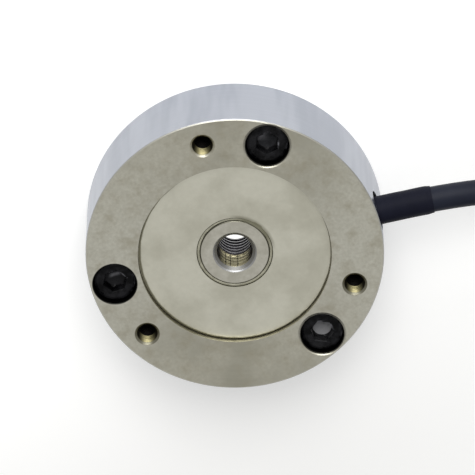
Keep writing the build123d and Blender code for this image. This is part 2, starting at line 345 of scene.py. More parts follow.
# %% World
world_light = (0.60, 0.60, 0.595)
world_dim = (0.09, 0.09, 0.10)
dim_side = (-0.259, -0.966, 0.0)
dim_zone = (0.62, 0.92)
world = bpy.data.worlds.new("studio")
world.use_nodes = True
tree = world.node_tree
tree.nodes.clear()
path = add_node(tree, "LightPath")
sky = add_node(tree, "TexCoord").outputs["Generated"]
towards_dim = add_node(tree, "VectorMath", {0: sky, 1: dim_side}, operation="DOT_PRODUCT").outputs["Value"]
bright_sky, dim_sky, backdrop = (
    add_node(tree, "Background", {"Color": colour}).outputs[0] for colour in (world_light, world_dim, white)
)
fill = add_node(tree, "MixShader", {0: band(tree, towards_dim, *dim_zone), 1: bright_sky, 2: dim_sky})
mixed = add_node(tree, "MixShader", {0: path.outputs["Is Camera Ray"], 1: fill.outputs[0], 2: backdrop})
add_node(tree, "OutputWorld", {"Surface": mixed.outputs[0]})
scene.world = world
print("world light", world_light, "dim side", world_dim)


# %% Lamps
def soft_panel(name, turn, height, distance, size, power, colour):
    """A rectangular lamp that faces the origin. Its turn about +Z and its height are in degrees."""
    data = bpy.data.lights.new(name, "AREA")
    data.shape = "RECTANGLE"
    data.size, data.size_y = size
    data.energy = power
    data.color = colour
    lamp = bpy.data.objects.new(name, data)
    turn, height = math.radians(turn), math.radians(height)
    flat = math.cos(height)
    direction = Vector((flat * math.cos(turn), flat * math.sin(turn), math.sin(height)))
    facing = direction.to_track_quat("Z", "Y").to_matrix().to_4x4()
    lamp.matrix_world = Matrix.Translation(direction * distance) @ facing
    scene.collection.objects.link(lamp)


key_tone = (1.0, 0.995, 0.985)
rim_light_tone = (0.96, 0.98, 1.0)
soft_panel("key_panel", turn=75.0, height=47.0, distance=1.5, size=(0.8, 0.8), power=10.5, colour=key_tone)
soft_panel(
    "rim_panel", turn=80.0, height=20.0, distance=1.2, size=(0.9, 0.3), power=3.2, colour=rim_light_tone
)

# %% [markdown]
# ## Surfaces from grids
# Apart from the cable and its leads, each new piece is a grid of points worked out with whole
# arrays. One direction of the grid runs around the piece and joins up. The other runs along its
# outline. Threads, beads, screws, the sleeve and the wire tips differ only in their formulas, so one
# function turns all their grids into meshes.

# %% Meshes from grids
def grid_mesh(name, grids, closed_rows):
    """One mesh from grids of rows x columns x 3 points in metres.
    Columns run counter-clockwise and join up. Rows join up as well where closed_rows is true.
    Otherwise a fan of triangles closes the first row and the last one."""
    vertices, faces, offset = [], [], 0
    for points in grids:
        rows, columns = points.shape[:2]
        index = np.arange(rows * columns).reshape(rows, columns) + offset
        lower, upper = (index, np.roll(index, -1, axis=0)) if closed_rows else (index[:-1], index[1:])
        quads = np.stack([lower, np.roll(lower, -1, 1), np.roll(upper, -1, 1), upper], axis=-1)
        faces += quads.reshape(-1, 4).tolist()
        vertices.append(points.reshape(-1, 3))
        offset += rows * columns
        if not closed_rows:
            vertices.append(points[[0, -1]].mean(axis=1))
            first, last = index[0], index[-1]
            faces += np.stack([np.roll(first, -1), first, np.full(columns, offset)], axis=1).tolist()
            faces += np.stack([last, np.roll(last, -1), np.full(columns, offset + 1)], axis=1).tolist()
            offset += 2
    mesh = bpy.data.meshes.new(name)
    mesh.from_pydata(np.vstack(vertices).tolist(), [], faces)
    mesh.update()
    return mesh


def turned(radius, height, centre=(0.0, 0.0), start=0.0):
    """A turned grid: x = radius times the cosine of the angle, y = radius times its sine, z = height.
    radius and height are rows x columns, and start is the angle of the first column."""
    radius, height = np.broadcast_arrays(radius, height)
    angle = start + np.linspace(0.0, 2 * math.pi, radius.shape[1], endpoint=False)
    return np.stack([centre[0] + radius * np.cos(angle), centre[1] + radius * np.sin(angle), height], axis=-1)


def place(name, grids, sharp_angle=60.0, closed_rows=True):
    """Makes a piece of its grids, at the origin, on the one body."""
    mesh = grid_mesh(name, grids, closed_rows)
    mesh.polygons.foreach_set("use_smooth", np.ones(len(mesh.polygons), dtype=bool))
    mesh.set_sharp_from_angle(angle=math.radians(sharp_angle))
    made = bpy.data.objects.new(name, mesh)
    scene.collection.objects.link(made)
    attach(made, "root")
    print(name, "faces", len(mesh.polygons))
    return made


# %% [markdown]
# Wear, grease, painted light and painted shade lie at certain places in each bore and on each screw.
# From the part's coordinates that would take sums for every hole, so each vertex also stores how far it
# lies from the middle of its own hole, to the right and upwards in the picture. Marks can then go where
# the photograph shows them. The numbers belong to the mesh, so the marks stay where they are when the
# camera moves.

# %% Places within each hole
def mark_own_axes(mesh, centres):
    """Stores two lengths at each vertex, counted from the nearest of the given axes: across, which is
    to the right in the picture, and upward, which is up in it."""
    spots = np.empty(len(mesh.vertices) * 3)
    mesh.vertices.foreach_get("co", spots)
    away = spots.reshape(-1, 3)[:, None, :2] - np.array(centres)[None]
    nearest_axis = np.linalg.norm(away, axis=2).argmin(axis=1)
    away = away[np.arange(len(away)), nearest_axis]
    for name, direction in (("across", picture_right), ("upward", picture_up)):
        layer = mesh.attributes.new(name, "FLOAT", "POINT")
        layer.data.foreach_set("value", (away @ np.array(direction)).astype(np.float32))


# %% [markdown]
# ## Threads
# The hub has an M10 thread right through it, and three blind M5 holes stand in the ring. A thread is
# too fine for the model, so a thin liner is laid in each bore. Its inner wall follows a rounded wave
# that climbs one pitch in each turn. A 45 degree mouth cuts the first crests away, as a countersink does.
# Near the front, old grease fills a part of the grooves.

# %% Sizes of the threads
liner_gap = 0.000004
root_gap = 0.00002
hub_radii = (0.005, 0.0053, 0.00422)
hub_pitch = 0.0015
hub_columns = 160
hub_grease_share = 0.86
hub_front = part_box("front_cover")[1][2]
hub_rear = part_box("rear_cover")[0][2]
tap_radii = (0.0025, 0.003, 0.00208)
tap_pitch = 0.0008
tap_columns = 72
tap_grease_share = 0.3
tap_thread_depth = 0.0112
tap_floor = face_height - tap_thread_depth
grease_height = 0.0124
grease_fade = 0.0012
crest_share = 0.22
root_share = 0.12
rows_per_pitch = 20
pitch_radius = 0.03


def on_pitch_circle(first_angle):
    """Three centres in the ring, a third of a turn apart, from the angle of the first in degrees."""
    angles = np.radians([0.0, 120.0, 240.0]) + math.radians(first_angle)
    return [(pitch_radius * math.cos(angle), pitch_radius * math.sin(angle)) for angle in angles]


tap_centres = on_pitch_circle(90.0)
screw_centres = on_pitch_circle(60.0)
print("taps at", np.round(tap_centres, 4).tolist())


# %% Thread liners
def thread_level(phase, crest, root):
    """A rounded wave: 0 along the crest, 1 along the root, and t squared times (3 - 2t) on the flanks.
    crest and root are shares of the pitch."""
    distance = np.abs((phase % 1.0) * 2.0 - 1.0)
    share = np.clip((distance - crest) / (1.0 - crest - root), 0.0, 1.0)
    return share * share * (3.0 - 2.0 * share)


def thread_liner(centre, top, bottom, radii, pitch, columns, through, grease_share):
    """An inner wall with the radius of the wave or of the 45 degree mouth, whichever is more, and an
    outer wall just inside the bore. radii are those of the bore, its mouth and the crests. The wave's
    phase is height / pitch - angle / one turn. Grease fills a share of its depth above grease_height."""
    bore, mouth, minor = radii
    height_top = top - (mouth - bore) - liner_gap
    height_low = bottom + (mouth - bore) + liner_gap if through else bottom
    rows = round((height_top - height_low) / pitch * rows_per_pitch)
    height = np.linspace(height_top, height_low, rows)[:, None]
    turn = np.linspace(0.0, 1.0, columns, endpoint=False)[None, :]
    level = thread_level(height / pitch - turn, crest_share, root_share)
    level = np.minimum(level, 1.0 - grease_share * smooth_step(height, grease_height, grease_fade))
    radius = minor + (bore - root_gap - minor) * level
    radius = np.maximum(radius, mouth - (top - height))
    if through:
        radius = np.maximum(radius, mouth - (height - bottom))
    radius = np.minimum(radius, bore - 2 * liner_gap)
    radius = np.vstack([radius, np.full((2, columns), bore - liner_gap)])
    height = np.vstack([height, [[height_low]], [[height_top]]]) + 0 * turn
    return turned(radius, height, centre)


hub_liner = thread_liner(
    (0.0, 0.0), hub_front, hub_rear, hub_radii, hub_pitch, hub_columns, True, hub_grease_share
)
hub_thread = place("hub_thread_wall", [hub_liner])
mark_own_axes(hub_thread.data, [(0.0, 0.0)])
tap_liners = [
    thread_liner(centre, face_height, tap_floor, tap_radii, tap_pitch, tap_columns, False, tap_grease_share)
    for centre in tap_centres
]
tap_threads = place("tap_thread_walls", tap_liners)
mark_own_axes(tap_threads.data, tap_centres)

# %% [markdown]
# ## Socket-head screws
# Three black M6 screws sit in the counterbores. The outline of one screw runs from its tip up the
# thread, round the knurled head and down into the hexagon socket, so the whole screw is one closed
# grid. The hexagon's radius is the flat's distance over the cosine of the angle from its middle.

# %% Screws
screw_columns = 120
socket_turns = np.radians([12.0, 4.0, 38.0])
shank_length = 0.012
shank_radius = 0.003
shank_core_radius = 0.00246
screw_pitch = 0.001
screw_crest_share = 0.15
screw_root_share = 0.25
thread_span = (-0.0114, -0.002)
thread_rows = 76
head_height = 0.006
head_radius = 0.005
seat_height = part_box("flange_screws")[1][2] - head_height
socket_flat_radius = 0.0025
knurl_depth = 0.00012


def screw_grid(centre, start):
    """One screw as a turned grid, from the tip's middle to the socket's middle, and the wear of its
    rows, from 0 where the black finish is whole to 1 along the socket's edge; the finish shows it as
    wear and painted highlight. Each entry of the outline has its radii, its height over the seat and its
    wear."""
    turn = np.linspace(0.0, 1.0, screw_columns, endpoint=False)[None, :]
    around = np.ones((1, screw_columns))
    to_flat = np.mod(turn * 2 * math.pi, math.pi / 3) - math.pi / 6
    hexagon = socket_flat_radius / np.cos(to_flat)
    knurl = head_radius - knurl_depth * (np.arange(screw_columns) % 2)[None, :]
    thread_height = np.linspace(*thread_span, thread_rows)[:, None]
    thread_wave = thread_level(thread_height / screw_pitch - turn, screw_crest_share, screw_root_share)
    thread = shank_radius - (shank_radius - shank_core_radius) * thread_wave
    outline = [
        (0.0021 * around, -shank_length, 0.0),
        (0.0024 * around, -shank_length, 0.0),
        (thread, thread_height, 0.0),
        (shank_radius * around, -0.0018, 0.0),
        (shank_radius * around, 0.0, 0.0),
        (0.0048 * around, 0.0, 0.0),
        (head_radius * around, 0.0002, 0.0),
        (head_radius * around, 0.0005, 0.0),
        (knurl, 0.0007, 0.0),
        (knurl, 0.0050, 0.0),
        (head_radius * around, 0.0052, 0.0),
        (head_radius * around, 0.0055, 0.1),
        (0.00488 * around, 0.00576, 0.3),
        (0.0045 * around, 0.00594, 0.1),
        (0.0042 * around, head_height, 0.0),
        (hexagon + 0.00042, head_height, 0.0),
        (hexagon + 0.00022, head_height, 1.0),
        (hexagon, 0.00578, 1.0),
        (hexagon, 0.0054, 0.0),
        (hexagon, 0.0032, 0.0),
        (np.minimum(hexagon * 0.985, 0.00242), 0.0030, 0.0),
        (0.001 * around, 0.0026, 0.0),
        (0.0001 * around, 0.0024, 0.0),
    ]
    radius = np.vstack([ring for ring, level, wear in outline])
    height = np.vstack([level + 0 * ring for ring, level, wear in outline])
    wear = np.concatenate([np.full(len(ring), wear) for ring, level, wear in outline])
    return turned(radius, seat_height + height, centre, start), wear


made_screws = [screw_grid(centre, start) for centre, start in zip(screw_centres, socket_turns)]
screws = place(
    "socket_head_screws",
    [grid for grid, wear in made_screws],
    sharp_angle=28.0,
    closed_rows=False,
)
mark_own_axes(screws.data, screw_centres)
edge_wear = np.concatenate([[*np.repeat(wear, screw_columns), 0.0, 0.0] for grid, wear in made_screws])
wear_layer = screws.data.attributes.new("edge_wear", "FLOAT", "POINT")
wear_layer.data.foreach_set("value", edge_wear.astype(np.float32))
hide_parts("flange_screws")

# %% [markdown]
# ## Sealing beads
# A thin bead of olive sealant closes the groove between each cover and the hub. It was laid by hand:
# it is crowned in the middle, dips into a dark crevice at both sides, and spreads over the cover's
# edge at one place on the front. Its height and its two edges are waves around the circle.

# %% Beads
bead_columns = 288
groove_inner_radius = 0.00835
groove_outer_radius = 0.00925
bead_side_gap = 0.00003
bead_foot_depth = 0.0008
bead_side_depth = 0.0003
bead_wall_depth = 0.0002
bead_crown_depth = 0.00012
smear_film = 0.00002
smear_spread = 0.00022
smear_mean = 1.3
crown_wave = 0.00007
crown_rise = 0.00008
crown_roundness = 0.6
inner_wave = 0.00007
outer_wave = 0.00009
bead_rows = 7
bead_smear_angle = math.radians(37.0)
bead_smear_width = math.radians(34.0)
random_waves = np.random.default_rng(11)


def uneven(angle, count, lowest=2):
    """A sum of cosine waves around the circle with random phases, scaled to stay within -1 and 1."""
    phases = random_waves.uniform(0.0, 2 * math.pi, count)
    waves = [np.cos((lowest + 3 * number) * angle + phase) for number, phase in enumerate(phases)]
    return sum(waves) / count


def bead_grid(face, inner_side, smear):
    """A bead around the hub, in rows round its own section: the foot, the outer side, the crown and
    the inner side. face is the height of the cover's outer side, and inner_side is -1 where the
    part's inside lies below it, +1 where it lies above. Depths count inwards from the face. The smear
    swells by e to the power of -2 times the square of the angle from its middle over its width."""
    angle = np.linspace(0.0, 2 * math.pi, bead_columns, endpoint=False)
    swell = smear * np.exp(-(((angle - bead_smear_angle) / bead_smear_width) ** 2) * 2)
    crown = bead_crown_depth - crown_wave * uneven(angle, 7) - crown_rise * swell
    inner = groove_inner_radius + bead_side_gap + inner_wave * (1 + uneven(angle, 9, 3)) * (1 - swell)
    outer = groove_outer_radius - bead_side_gap - outer_wave * (1 + uneven(angle, 8, 5)) * (1 - swell)
    outer = outer + smear_spread * swell * (smear_mean + uneven(angle, 9, 7))
    foot_inner = np.full(bead_columns, groove_inner_radius + bead_side_gap)
    foot_outer = np.full(bead_columns, groove_outer_radius - bead_side_gap)
    foot_depth = np.full(bead_columns, bead_foot_depth)
    film = -smear_film * swell
    share = np.linspace(0.0, 1.0, bead_rows)[:, None]
    top_radius = outer + (inner - outer) * share
    lift = np.sin(share * math.pi) ** crown_roundness
    side_depth = bead_side_depth * (1 - swell) + film
    top_depth = side_depth + (crown * (1 - swell) + film - side_depth) * lift
    wall_depth = side_depth + bead_wall_depth
    radius = np.vstack([foot_inner, foot_outer, foot_outer, top_radius, foot_inner])
    depth = np.vstack([foot_depth, foot_depth, wall_depth, top_depth, wall_depth])
    grid = turned(radius, face + inner_side * depth)
    return grid if inner_side < 0 else grid[::-1]


beads = []
for side, face, inner_side, smear in (("front", hub_front, -1.0, 1.0), ("rear", hub_rear, 1.0, 0.0)):
    bead = place("hub_bead_" + side, [bead_grid(face, inner_side, smear)])
    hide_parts("hub_seal_" + side)
    beads.append(bead)

# %% [markdown]
# ## Sleeve on the cable
# A sleeve of heat-shrunk tube grips the cable where it leaves the rim. It follows the points read
# from the cable's own spline, so both share one line. Its radius has slight waves from shrinking,
# and its free end narrows to a thin cut lip over the jacket. Each wave has its count round the tube,
# its radians per metre along it, and its share.

# %% Sleeve
sleeve_radius = 0.0035
sleeve_inner_radius = 0.00313
sleeve_length = 0.0196
sleeve_rows = 56
sleeve_columns = 64
shrink_gap = 0.00003
shrink_wave = 0.000022
shrink_waves = ((2, 300.0, 1.0), (3, -520.0, 0.7), (0, 900.0, 0.5))
lip_drop = 0.00018
lip_length = 0.0016


def along(line, distances):
    """Points at the given distances along a line, with the unit vectors of its side and its lift.
    The side is level, and the lift stands square to the side and to the line's course."""
    travelled = np.concatenate([[0.0], np.cumsum(np.linalg.norm(np.diff(line, axis=0), axis=1))])
    spots = np.stack([np.interp(distances, travelled, line[:, axis]) for axis in range(3)], axis=1)
    course = np.gradient(spots, axis=0)
    course /= np.linalg.norm(course, axis=1, keepdims=True)
    side = np.cross(course, (0.0, 0.0, 1.0))
    side /= np.linalg.norm(side, axis=1, keepdims=True)
    return spots, side, np.cross(side, course)


def tube(spots, side, lift, radius):
    """A ring of points round each spot: the lift times the cosine plus the side times the sine."""
    angle = np.linspace(0.0, 2 * math.pi, radius.shape[1], endpoint=False)[None, :, None]
    ring = lift[:, None, :] * np.cos(angle) + side[:, None, :] * np.sin(angle)
    return spots[:, None, :] + radius[:, :, None] * ring


sleeve_reach = np.linspace(0.0, sleeve_length, sleeve_rows)
spots, side, lift = along(cable_line, sleeve_reach)
angle = np.linspace(0.0, 2 * math.pi, sleeve_columns, endpoint=False)[None, :]
reach = sleeve_reach[:, None]
waves = sum(share * np.cos(count * angle + reach * rise) for count, rise, share in shrink_waves)
lip = smooth_step(reach, sleeve_length - lip_length / 2, lip_length)
outer_wall = sleeve_radius - shrink_gap - shrink_wave * waves - lip_drop * lip
inner_wall = np.full((sleeve_rows, sleeve_columns), sleeve_inner_radius)
sleeve_grid = np.concatenate(
    [tube(spots, side, lift, outer_wall), tube(spots[::-1], side[::-1], lift[::-1], inner_wall)]
)
sleeve = place("heat_shrink_sleeve", [sleeve_grid], sharp_angle=50.0)
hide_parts("strain_relief_sleeve")

# %% [markdown]
# ## Flying leads
# The cable ends in five insulated leads with tinned tips, laid out on the table by the coil. Each
# lead is a short NURBS line of its own. Each tip is a twist of seven thin wires.

# %% Leads
lead_radius = 0.00075
lead_circle_radius = 0.0016
lead_fan_pitch = 0.0021
lead_fan_spread = 1.3
lead_straight_start = 0.004
lead_length = 0.015
lead_landing_share = 0.6
lead_angles = {"red": 162.0, "black": 234.0, "shield": 90.0, "green": 306.0, "white": 18.0}
sideways = heading(coil_exit_angle + math.pi)
lead_floor = tail_end + np.array([0.0, 0.0, lead_radius - tail_end[2]])
leads = {}
lead_ends = []
for number, (colour, start_angle) in enumerate(lead_angles.items()):
    start = tail_end - sideways * lead_circle_radius * math.cos(math.radians(start_angle))
    start = start + np.array([0.0, 0.0, lead_circle_radius * math.sin(math.radians(start_angle))])
    end_side = (number - (len(lead_angles) - 1) / 2) * lead_fan_pitch
    route = [
        start,
        start + exit_heading * lead_straight_start,
        lead_floor - sideways * end_side + exit_heading * lead_length * lead_landing_share,
        lead_floor - sideways * end_side * lead_fan_spread + exit_heading * lead_length,
    ]
    lead = nurbs_curve("lead_insulation_" + colour, route, lead_radius)
    lead.data.bevel_resolution = 5
    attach(lead, "root")
    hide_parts("lead_" + colour)
    leads[colour] = lead
    lead_ends.append((route[3], route[3] - route[2]))
print("leads", list(leads))

# %% Tinned tips
tip_length = 0.005
strand_radius = 0.000135
strand_circle_radius = 0.00026
strand_twist = 2 * math.pi * 1.4
strand_rows = 22
strand_columns = 8
strand_cover = 0.001
strand_end_share = 0.6
outer_strands = 6
strand_grids = []
tip_share = np.linspace(0.0, 1.0, strand_rows)
for end, run in lead_ends:
    reach = (tip_share * (tip_length + strand_cover) - strand_cover)[:, None]
    course = run / np.linalg.norm(run)
    side = np.cross(course, (0.0, 0.0, 1.0))
    side = side / np.linalg.norm(side)
    lift = np.cross(side, course)
    sides, lifts = (np.tile(direction, (strand_rows, 1)) for direction in (side, lift))
    for strand in range(outer_strands + 1):
        away = 0.0 if strand == outer_strands else strand_circle_radius
        turn = strand * 2 * math.pi / outer_strands + strand_twist * tip_share[:, None]
        middle = end + course * reach + away * (lift * np.cos(turn) + side * np.sin(turn))
        ring = np.full((strand_rows, strand_columns), strand_radius)
        ring[-1] *= strand_end_share
        strand_grids.append(tube(middle, sides, lifts, ring))
tips = place("tinned_wire_tips", strand_grids, sharp_angle=50.0, closed_rows=False)
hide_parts("tinned_tips")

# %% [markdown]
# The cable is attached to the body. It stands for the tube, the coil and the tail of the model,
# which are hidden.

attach(cable, "root")
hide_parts("cable", "cable_coil", "cable_tail")

# %% [markdown]
# ## Shared effects
# Several finishes use the same marks: rings left by the lathe, soft blotches, fine grain and a dark
# line in a round joint, used as painted shade and, round the covers, as dirt too. They could be built
# anew in each material, but a node group is built once and placed with its own values. The rim's bands
# and lines are a group too, to keep the body's material short. Each function below builds the inside of
# one group. The groups give out plain values, so the shader itself stays in each material.

# %% Helpers for node groups
smallest_radius = 0.0001
smallest_width = 0.00001
dark_joint_fade = (0.6, 1.6)
band_rise = 12.0
band_zone = (0.38, 0.62)
band_share = 0.6
line_rise = 40.0
line_share = 0.5


def new_group(name, build, **inputs):
    """A node group: a vector and named numbers go in, and the number that build works out comes out."""
    tree = bpy.data.node_groups.new(name, "ShaderNodeTree")
    tree.interface.new_socket(name="Vector", in_out="INPUT", socket_type="NodeSocketVector")
    for key, value in inputs.items():
        socket = tree.interface.new_socket(name=key, in_out="INPUT", socket_type="NodeSocketFloat")
        socket.default_value = value
    tree.interface.new_socket(name="Value", in_out="OUTPUT", socket_type="NodeSocketFloat")
    entry, leave = tree.nodes.new("NodeGroupInput"), tree.nodes.new("NodeGroupOutput")
    tree.links.new(build(tree, entry.outputs), leave.inputs[0])
    return tree


def flat_radius(tree, vector):
    """The distance from the load axis, with the vector's three parts."""
    parts = add_node(tree, "SeparateXYZ", {0: vector})
    squares = sum_up(tree, "MULTIPLY_ADD", parts.outputs[0], parts.outputs[0], 0.0)
    squares = sum_up(tree, "MULTIPLY_ADD", parts.outputs[1], parts.outputs[1], squares)
    return sum_up(tree, "SQRT", squares), parts


def around_axis(tree, radius, parts, scale):
    """The cosine and the sine of the angle about the load axis, each times a scale."""
    safe = sum_up(tree, "MAXIMUM", radius, smallest_radius)
    return [times(tree, sum_up(tree, "DIVIDE", parts.outputs[number], safe), scale) for number in (0, 1)]


def noise(tree, vector, scale, detail, roughness):
    """One noise texture's value."""
    inputs = {"Vector": vector, "Scale": scale, "Detail": detail, "Roughness": roughness}
    return add_node(tree, "TexNoise", inputs).outputs[0]


# %% Node groups
def lathe_rings(tree, given):
    """Noise over the radius times Rings, and over the angle's cosine and sine times Breaks."""
    radius, parts = flat_radius(tree, given["Vector"])
    cosine, sine = around_axis(tree, radius, parts, given["Breaks"])
    polar = add_node(tree, "CombineXYZ", {0: times(tree, radius, given["Rings"]), 1: cosine, 2: sine})
    return noise(tree, polar.outputs[0], scale=1.0, detail=4.0, roughness=0.7)


def soft_spots(tree, given):
    """Noise that is 0 below Low and 1 above High."""
    spots = noise(tree, given["Vector"], given["Scale"], detail=5.0, roughness=0.6)
    return band(tree, spots, given["Low"], given["High"])


def plain_grain(tree, given):
    """Plain noise."""
    return noise(tree, given["Vector"], given["Scale"], detail=2.0, roughness=0.5)


def dark_joint_ring(tree, given):
    """1 along a circle of Radius, fading to 0 about an uneven Width from it. Lean widens one side."""
    radius, parts = flat_radius(tree, given["Vector"])
    uneven_edge = noise(tree, given["Vector"], scale=420.0, detail=3.0, roughness=0.6)
    lean = sum_up(tree, "MULTIPLY_ADD", parts.outputs[0], given["Lean"], uneven_edge)
    width = sum_up(tree, "MAXIMUM", times(tree, lean, given["Width"]), smallest_width)
    share = sum_up(tree, "DIVIDE", apart(tree, radius, given["Radius"]), width)
    return minus(tree, 1.0, band(tree, share, *dark_joint_fade))


def bands_and_lines(tree, given):
    """Wide upright bands, of which the noise hardly changes over the rim's height, plus fine lines
    round the rim, of which the noise changes 40 times faster over the height than along the lines."""
    radius, parts = flat_radius(tree, given["Vector"])
    cosine, sine = around_axis(tree, radius, parts, given["Bands"])
    wide_height = times(tree, parts.outputs[2], band_rise)
    wide_spot = add_node(tree, "CombineXYZ", {0: cosine, 1: sine, 2: wide_height}).outputs[0]
    wide_band = band(tree, noise(tree, wide_spot, scale=1.0, detail=3.0, roughness=0.7), *band_zone)
    line_height = times(tree, parts.outputs[2], line_rise)
    line_spot = add_node(tree, "CombineXYZ", {0: parts.outputs[0], 1: parts.outputs[1], 2: line_height})
    lines = noise(tree, line_spot.outputs[0], scale=55.0, detail=4.0, roughness=0.6)
    return sum_up(tree, "MULTIPLY_ADD", lines, line_share, times(tree, wide_band, band_share), clamp=True)


turning_marks = new_group("turning_marks", lathe_rings, Rings=2600.0, Breaks=1.5)
blotches = new_group("blotches", soft_spots, Scale=60.0, Low=0.35, High=0.65)
fine_grain = new_group("fine_grain", plain_grain, Scale=2500.0)
joint_dirt_and_shade = new_group("joint_dirt_and_shade", dark_joint_ring, Radius=0.023, Width=0.0003, Lean=0.0)
rim_streaks = new_group("rim_streaks", bands_and_lines, Bands=3.5)
print("groups", [tree.name for tree in bpy.data.node_groups])


# %% Material helpers
def effect(tree, group, vector, **values):
    """Places a node group and gives its value."""
    made = tree.nodes.new("ShaderNodeGroup")
    made.node_tree = group
    tree.links.new(vector, made.inputs["Vector"])
    for key, value in values.items():
        made.inputs[key.capitalize()].default_value = value
    return made.outputs[0]


def blend(tree, factor, first, second):
    """Mixes two colours, of which each is a colour or a socket."""
    return add_node(tree, "Mix", {0: factor, 6: first, 7: second}, data_type="RGBA").outputs[2]


def over(tree, tone, mask, share, colour):
    """Lays a colour over a tone, by a mask times a share."""
    return blend(tree, times(tree, mask, share), tone, colour)


def between(tree, factor, low, high):
    """A number from low to high by a factor from 0 to 1."""
    return add_node(tree, "MapRange", {"Value": factor, "To Min": low, "To Max": high}).outputs["Result"]


def finish(tree, colour, roughness, height, depth, **constants):
    """The Principled shader of a material, with a bump. Its height times its depth is in metres."""
    bump = add_node(tree, "Bump", {"Height": height, "Distance": depth, "Strength": 1.0})
    inputs = {"Base Color": colour, "Roughness": roughness, "Normal": bump.outputs[0]}
    inputs.update((key.replace("_", " "), value) for key, value in constants.items())
    add_node(tree, "OutputMaterial", {"Surface": add_node(tree, "BsdfPrincipled", inputs).outputs[0]})


def coordinates(tree):
    """The piece's own coordinates, in metres."""
    return add_node(tree, "TexCoord").outputs["Object"]


def stored(tree, name):
    """A number stored at the piece's vertices under a name."""
    return add_node(tree, "Attribute", attribute_name=name).outputs["Fac"]


def nearest(tree, vector, centres):
    """The distance in the table's plane to the nearest of some axes that stand upright."""
    flat = add_node(tree, "VectorMath", {0: vector, 1: (1.0, 1.0, 0.0)}, operation="MULTIPLY").outputs[0]
    closest = 1.0
    for x, y in centres:
        gap = add_node(tree, "VectorMath", {0: flat, 1: (x, y, 0.0)}, operation="DISTANCE").outputs["Value"]
        closest = sum_up(tree, "MINIMUM", gap, closest)
    return closest


def dress(material, *objects):
    """Gives a material to pieces and to nodes of the model."""
    for item in objects:
        if item.data.materials:
            for slot in item.material_slots:
                slot.material = material
        else:
            item.data.materials.append(material)
    print("dressed", len(objects), "with", material.name)


# %% [markdown]
# ## Body steel
# The body is turned steel. Its surfaces could have a material each, but the model gives one mesh for
# the whole body, so one material tells them apart by masks from the height and from the distance to
# the axis. The ring's face comes first: fine arcs from the lathe, faint warm blotches, and a painted
# sheen that makes two opposite sides lighter, by the square of the cosine of the angle from one axis.

# %% The ring's face
face_light = (0.58, 0.561, 0.469)
face_dark = (0.395, 0.381, 0.308)
face_brown = (0.36, 0.325, 0.23)
face_sheen_light = (0.74, 0.73, 0.64)
sheen_axis = (0.966, -0.259)
sheen_share = 0.88
fine_share = 0.42
brown_share = 0.62
marks_share = 0.46

body_steel, tree = new_material("body_steel_turned")
spot = coordinates(tree)
radius, parts = flat_radius(tree, spot)
height = parts.outputs[2]
marks = effect(tree, turning_marks, spot, rings=2600.0, breaks=2.0)
wide = effect(tree, blotches, spot, scale=55.0, low=0.36, high=0.64)
small = effect(tree, blotches, spot, scale=240.0, low=0.42, high=0.75)
fine = effect(tree, blotches, spot, scale=1300.0, low=0.25, high=0.75)
cosine = times(tree, parts.outputs[0], sheen_axis[0])
cosine = sum_up(tree, "MULTIPLY_ADD", parts.outputs[1], sheen_axis[1], cosine)
cosine = sum_up(tree, "DIVIDE", cosine, sum_up(tree, "MAXIMUM", radius, smallest_radius))
tone = blend(tree, wide, face_dark, face_light)
# Painted sheen: two opposite sides of the face are painted lighter, as the bow-tie highlight of a turned
# face.
tone = over(tree, tone, times(tree, cosine, cosine), sheen_share, face_sheen_light)
tone = over(tree, tone, fine, fine_share, face_dark)
tone = over(tree, tone, small, brown_share, face_brown)
tone = over(tree, tone, marks, marks_share, face_light)
print("ring tones from", face_dark, "to", face_sheen_light)

# %% [markdown]
# The hub's face is lighter, and its colour has no arcs. What lies deeper than the front faces is
# bore, painted dark as shade, or the olive gap round the cover. The rear faces lie deeper too, but they
# are plain turned steel, so the bore's mask leaves them out.

# %% Hub face and bores
hub_tone = (0.69, 0.67, 0.585)
hub_shade = (0.53, 0.512, 0.432)
hub_fine_share = 0.45
hub_face_zone = (0.0088, 0.0084)
recess_shade_tone = (0.10, 0.09, 0.05)
ring_depth_zone = (0.0208, 0.0203)
hub_depth_zone = (0.0194, 0.0190)
hub_zone = (0.0090, 0.0084)
rear_zone = (hub_rear + 0.0006, hub_rear + 0.0002)
gap_tone = (0.42, 0.40, 0.31)
gap_zone = (0.0237, 0.0235)

hub_face = blend(tree, effect(tree, blotches, spot, scale=420.0, low=0.3, high=0.7), hub_shade, hub_tone)
hub_face = over(tree, hub_face, fine, hub_fine_share, hub_shade)
tone = blend(tree, band(tree, radius, *hub_face_zone), tone, hub_face)
outside_hub = minus(tree, 1.0, band(tree, radius, *hub_zone))
in_bore = times(tree, band(tree, height, *ring_depth_zone), outside_hub)
in_bore = sum_up(tree, "MAXIMUM", in_bore, band(tree, height, *hub_depth_zone))
in_bore = times(tree, in_bore, minus(tree, 1.0, band(tree, height, *rear_zone)))
# Painted shade: whatever lies deeper than the front faces is painted dark.
tone = blend(tree, in_bore, tone, recess_shade_tone)
tone = over(tree, tone, in_bore, band(tree, radius, *gap_zone), gap_tone)
print("bore below", ring_depth_zone[0], "and", hub_depth_zone[0], "but not below", round(rear_zone[0], 4))

# %% [markdown]
# The mouths of the taps are painted darker, as shade, the upper one least. The outer chamfers are one
# plain tone, and the rim is cooler in colour than the face, which is a painted reflection of cool light,
# with upright bands and fine lines. A mask by height keeps the marks round the holes off the rear.

# %% Tap mouths and rim
front_zone = (face_height - 0.011, face_height - 0.009)
tap_mouth_shade_tone = (0.17, 0.16, 0.115)
tap_edge_zone = (0.00312, 0.00296)
tap_edge_share = 0.85
clean_tap_share = 0.75
clean_tap_zone = (0.02, 0.022)
chamfer_tone = (0.50, 0.49, 0.43)
chamfer_zone = (0.0356, 0.03575)
rim_tone_cool_reflection = (0.45, 0.47, 0.52)
rim_dark_cool_reflection = (0.335, 0.355, 0.405)
rim_zone = (0.0208, 0.0207)

